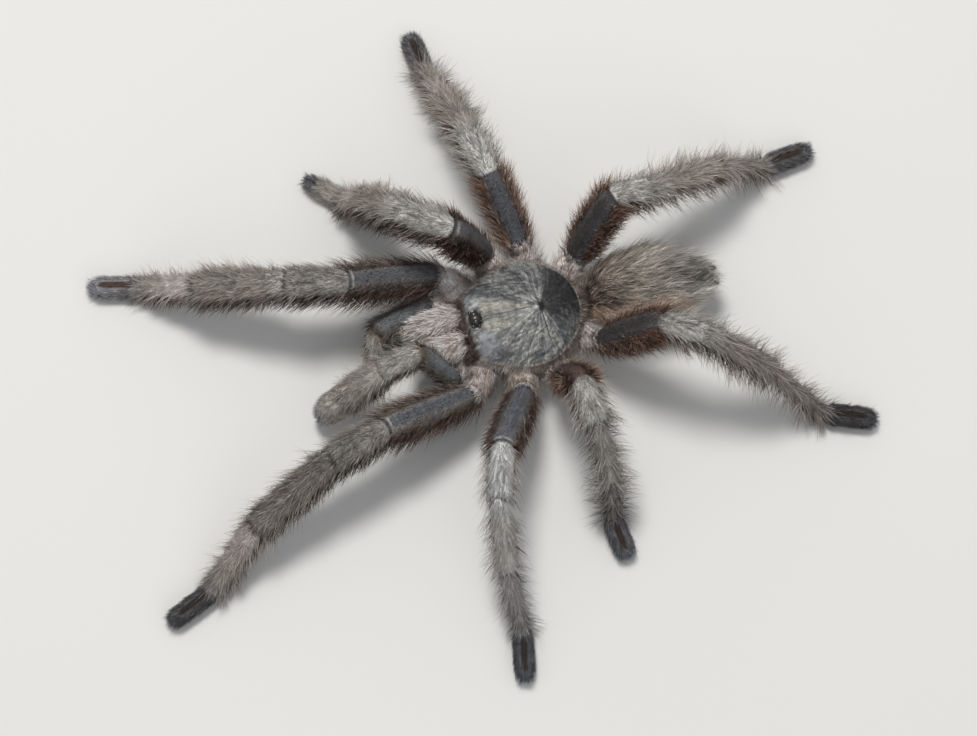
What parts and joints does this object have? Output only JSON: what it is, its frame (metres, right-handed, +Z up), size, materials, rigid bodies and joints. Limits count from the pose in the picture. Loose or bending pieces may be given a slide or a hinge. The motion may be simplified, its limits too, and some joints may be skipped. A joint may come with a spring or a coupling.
{
  "type": "tarantula",
  "caption": "A hairy grey-brown tarantula standing on level ground in a walking pose, legs spread, at life size.",
  "frame": {"origin": "on the floor, below the middle of the box around the whole animal", "axes": "+Y toward the tail along the abdomen, so the head looks toward -Y; +X toward the animal's own left; +Z up"},
  "size_m": [0.1084, 0.1178, 0.0241],
  "materials": {
    "dark_shell": "satin, with short pale hairs",
    "black_horn": "gloss",
    "pale_hair": "matt hair",
    "brown_hair": "matt hair",
    "femur_hair": "matt hair",
    "patella_hair": "matt hair",
    "tibia_hair": "matt hair",
    "metatarsus_hair": "matt hair",
    "tarsus_hair": "velvety hair"
  },
  "bodies": {
    "root": {"carapace": "dark_shell", "eye_mound": "black_horn", "underside": "brown_hair", "abdomen": "brown_hair", "chelicera_L": "pale_hair", "fang_L": "black_horn", "spinneret_L": "brown_hair", "chelicera_R": "pale_hair", "fang_R": "black_horn", "spinneret_R": "brown_hair", "leg_L1_femur": "femur_hair", "leg_L1_patella": "patella_hair", "leg_L1_tibia": "tibia_hair", "leg_L1_metatarsus": "metatarsus_hair", "leg_L1_tarsus": "tarsus_hair", "leg_L2_femur": "femur_hair", "leg_L2_patella": "patella_hair", "leg_L2_tibia": "tibia_hair", "leg_L2_metatarsus": "metatarsus_hair", "leg_L2_tarsus": "tarsus_hair", "leg_L3_femur": "femur_hair", "leg_L3_patella": "patella_hair", "leg_L3_tibia": "tibia_hair", "leg_L3_metatarsus": "metatarsus_hair", "leg_L3_tarsus": "tarsus_hair", "leg_L4_femur": "femur_hair", "leg_L4_patella": "patella_hair", "leg_L4_tibia": "tibia_hair", "leg_L4_metatarsus": "metatarsus_hair", "leg_L4_tarsus": "tarsus_hair", "palp_L_femur": "femur_hair", "palp_L_patella": "patella_hair", "palp_L_tibia": "tibia_hair", "palp_L_tarsus": "tarsus_hair", "leg_R1_femur": "femur_hair", "leg_R1_patella": "patella_hair", "leg_R1_tibia": "tibia_hair", "leg_R1_metatarsus": "metatarsus_hair", "leg_R1_tarsus": "tarsus_hair", "leg_R2_femur": "femur_hair", "leg_R2_patella": "patella_hair", "leg_R2_tibia": "tibia_hair", "leg_R2_metatarsus": "metatarsus_hair", "leg_R2_tarsus": "tarsus_hair", "leg_R3_femur": "femur_hair", "leg_R3_patella": "patella_hair", "leg_R3_tibia": "tibia_hair", "leg_R3_metatarsus": "metatarsus_hair", "leg_R3_tarsus": "tarsus_hair", "leg_R4_femur": "femur_hair", "leg_R4_patella": "patella_hair", "leg_R4_tibia": "tibia_hair", "leg_R4_metatarsus": "metatarsus_hair", "leg_R4_tarsus": "tarsus_hair", "palp_R_femur": "femur_hair", "palp_R_patella": "patella_hair", "palp_R_tibia": "tibia_hair", "palp_R_tarsus": "tarsus_hair"}
  },
  "joints": []
}
